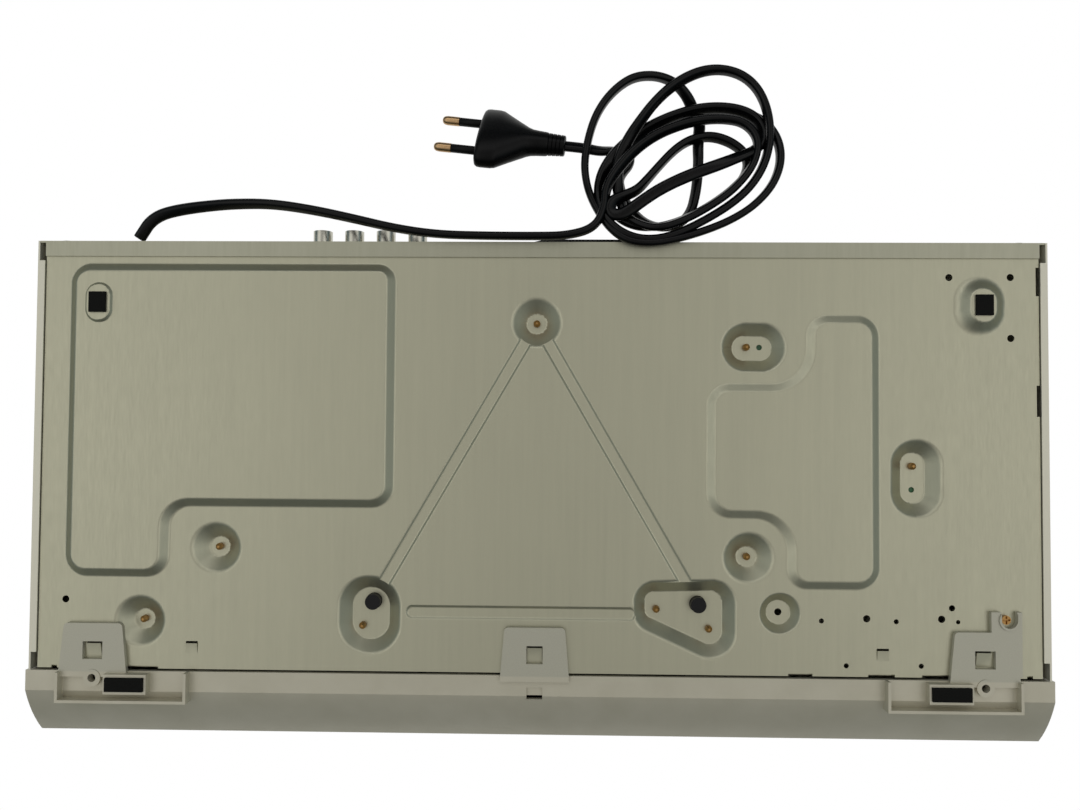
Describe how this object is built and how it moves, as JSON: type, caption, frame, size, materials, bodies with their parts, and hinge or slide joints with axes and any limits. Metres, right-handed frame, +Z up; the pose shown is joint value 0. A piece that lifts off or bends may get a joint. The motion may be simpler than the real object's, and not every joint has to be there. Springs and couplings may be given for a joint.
{
  "type": "dvd player",
  "caption": "Slim full-width disc player: pressed steel floor, silver front, motor-driven tray, rear sockets, mains cord in a loose coil behind it",
  "frame": {"origin": "on the table under the middle of the player, half way between the lip of the front moulding and the tips of the audio jacks", "axes": "+X to the right seen from the front, +Y to the rear, +Z up"},
  "size_m": [0.4306, 0.2854, 0.043],
  "materials": {
    "galvanised": "zinc-coated sheet steel, fine grain",
    "case_paint": "satin silver paint on steel",
    "silver_plastic": "satin silver moulding",
    "smoked_window": "smoked clear window",
    "rubber": "matt black rubber",
    "zinc_screws": "zinc-plated",
    "brass_screws": "yellow passivated",
    "black_plastic": "black moulding",
    "white_plastic": "natural acetal",
    "motor_steel": "plated steel can",
    "aluminium_case": "cast and extruded aluminium",
    "lens_glass": "coated lens",
    "board_green": "solder mask on laminate",
    "amber_plastic": "varnished winding and core",
    "capacitor_sleeve": "shrink sleeve",
    "chip_black": "moulded package",
    "plated_jacks": "nickel plate",
    "coloured_plastic": "jack insulators",
    "display_glass": "fluorescent display glass",
    "cord_rubber": "black flexible sheath"
  },
  "bodies": {
    "case": {"bottom_chassis": "galvanised", "rear_panel": "galvanised", "top_cover": "case_paint", "front_bezel": "silver_plastic", "display_window": "smoked_window", "front_foot_pads": "rubber", "rear_foot_pads": "rubber", "rear_panel_screws": "zinc_screws", "case_screws": "zinc_screws", "board_screws": "brass_screws", "loader_screws": "brass_screws", "loader_frame": "black_plastic", "clamp_bridge": "galvanised", "loading_motor": "motor_steel", "drive_belt": "rubber", "power_supply_board": "board_green", "board_standoffs": "white_plastic", "transformer": "amber_plastic", "capacitors": "capacitor_sleeve", "line_filter": "black_plastic", "heat_sink": "aluminium_case", "main_board": "board_green", "board_chips": "chip_black", "jack_board": "board_green", "jack_sleeves": "plated_jacks", "jack_mouldings": "coloured_plastic", "scart_socket": "black_plastic", "control_boards": "board_green", "display_module": "display_glass", "tact_switches": "chip_black", "infrared_receiver": "chip_black", "control_ribbon": "white_plastic", "power_wiring": "white_plastic", "strain_relief": "cord_rubber", "mains_cord": "cord_rubber", "cord_coil": "cord_rubber", "cord_tail": "cord_rubber", "mains_plug": "cord_rubber", "plug_pins": "plated_jacks"},
    "tray": {"disc_tray": "black_plastic", "tray_door": "silver_plastic"},
    "carriage": {"traverse_frame": "black_plastic", "guide_rods": "motor_steel", "spindle_motor": "motor_steel", "sled_motor": "motor_steel"},
    "spindle": {"turntable": "black_plastic"},
    "lead": {"lead_screw": "motor_steel"},
    "pickup": {"optical_pickup": "aluminium_case"},
    "lens": {"objective_lens": "lens_glass"},
    "puck": {"clamp_puck": "black_plastic"},
    "pinion": {"tray_pinion": "white_plastic"},
    "pulley": {"pulley_gear": "white_plastic"},
    "motor_shaft": {"motor_pulley": "white_plastic"},
    "lift": {"lift_slide": "white_plastic"},
    "power": {"power_button": "silver_plastic"},
    "open": {"open_button": "silver_plastic"},
    "play": {"play_button": "silver_plastic"},
    "stop": {"stop_button": "silver_plastic"},
    "previous": {"previous_button": "silver_plastic"},
    "next": {"next_button": "silver_plastic"}
  },
  "joints": [
    {"name": "tray_slide", "type": "slide", "parent": "case", "child": "tray", "axis": [0, -1, 0], "range_m": [0, 0.125]},
    {"name": "pinion_spin", "type": "hinge", "parent": "case", "child": "pinion", "pos_m": [0.048, -0.068, 0.015], "axis": [0, 0, 1], "range_deg": [-1030, 5]},
    {"name": "pulley_spin", "type": "hinge", "parent": "case", "child": "pulley", "pos_m": [0.0354, -0.068, 0.015], "axis": [0, 0, 1], "range_deg": [-15, 2570]},
    {"name": "motor_spin", "type": "hinge", "parent": "case", "child": "motor_shaft", "pos_m": [-0.008, -0.068, 0.0148], "axis": [0, 0, 1], "range_deg": [-40, 7400]},
    {"name": "carriage_raise", "type": "hinge", "parent": "case", "child": "carriage", "pos_m": [0, 0.038, 0.02], "axis": [-1, 0, 0], "range_deg": [0, 7]},
    {"name": "lift_travel", "type": "slide", "parent": "case", "child": "lift", "axis": [1, 0, 0], "range_m": [0, 0.0241]},
    {"name": "spindle_spin", "type": "hinge", "parent": "carriage", "child": "spindle", "pos_m": [0, -0.03545, 0.01098], "axis": [0, -0.1219, 0.9925], "continuous": true},
    {"name": "lead_spin", "type": "hinge", "parent": "carriage", "child": "lead", "pos_m": [0.033, -0.00019, 0.01924], "axis": [0, 0.9925, 0.1219], "continuous": true},
    {"name": "pickup_slide", "type": "slide", "parent": "carriage", "child": "pickup", "axis": [0, 0.9925, 0.1219], "range_m": [0, 0.034]},
    {"name": "lens_focus", "type": "slide", "parent": "pickup", "child": "lens", "axis": [0, -0.1219, 0.9925], "range_m": [0, 0.0006], "stiffness_N_per_m": 20},
    {"name": "puck_spin", "type": "hinge", "parent": "case", "child": "puck", "pos_m": [0, -0.036, 0.0366], "axis": [0, 0, 1], "continuous": true},
    {"name": "power_press", "type": "slide", "parent": "case", "child": "power", "axis": [0, 1, 0], "range_m": [0, 0.0008], "stiffness_N_per_m": 300, "springref_m": -0.001},
    {"name": "open_press", "type": "slide", "parent": "case", "child": "open", "axis": [0, 1, 0], "range_m": [0, 0.0008], "stiffness_N_per_m": 300, "springref_m": -0.001},
    {"name": "play_press", "type": "slide", "parent": "case", "child": "play", "axis": [0, 1, 0], "range_m": [0, 0.0008], "stiffness_N_per_m": 300, "springref_m": -0.001},
    {"name": "stop_press", "type": "slide", "parent": "case", "child": "stop", "axis": [0, 1, 0], "range_m": [0, 0.0008], "stiffness_N_per_m": 300, "springref_m": -0.001},
    {"name": "previous_press", "type": "slide", "parent": "case", "child": "previous", "axis": [0, 1, 0], "range_m": [0, 0.0008], "stiffness_N_per_m": 300, "springref_m": -0.001},
    {"name": "next_press", "type": "slide", "parent": "case", "child": "next", "axis": [0, 1, 0], "range_m": [0, 0.0008], "stiffness_N_per_m": 300, "springref_m": -0.001}
  ],
  "couplings": [
    {"joint": "pinion_spin", "follows": "tray_slide", "rad_per_m": -142.86},
    {"joint": "pulley_spin", "follows": "tray_slide", "rad_per_m": 357.14},
    {"joint": "motor_spin", "follows": "tray_slide", "rad_per_m": 1030.2},
    {"joint": "lift_travel", "follows": "carriage_raise", "m_per_rad": 0.19644},
    {"joint": "lead_spin", "follows": "pickup_slide", "rad_per_m": 2094.4}
  ]
}
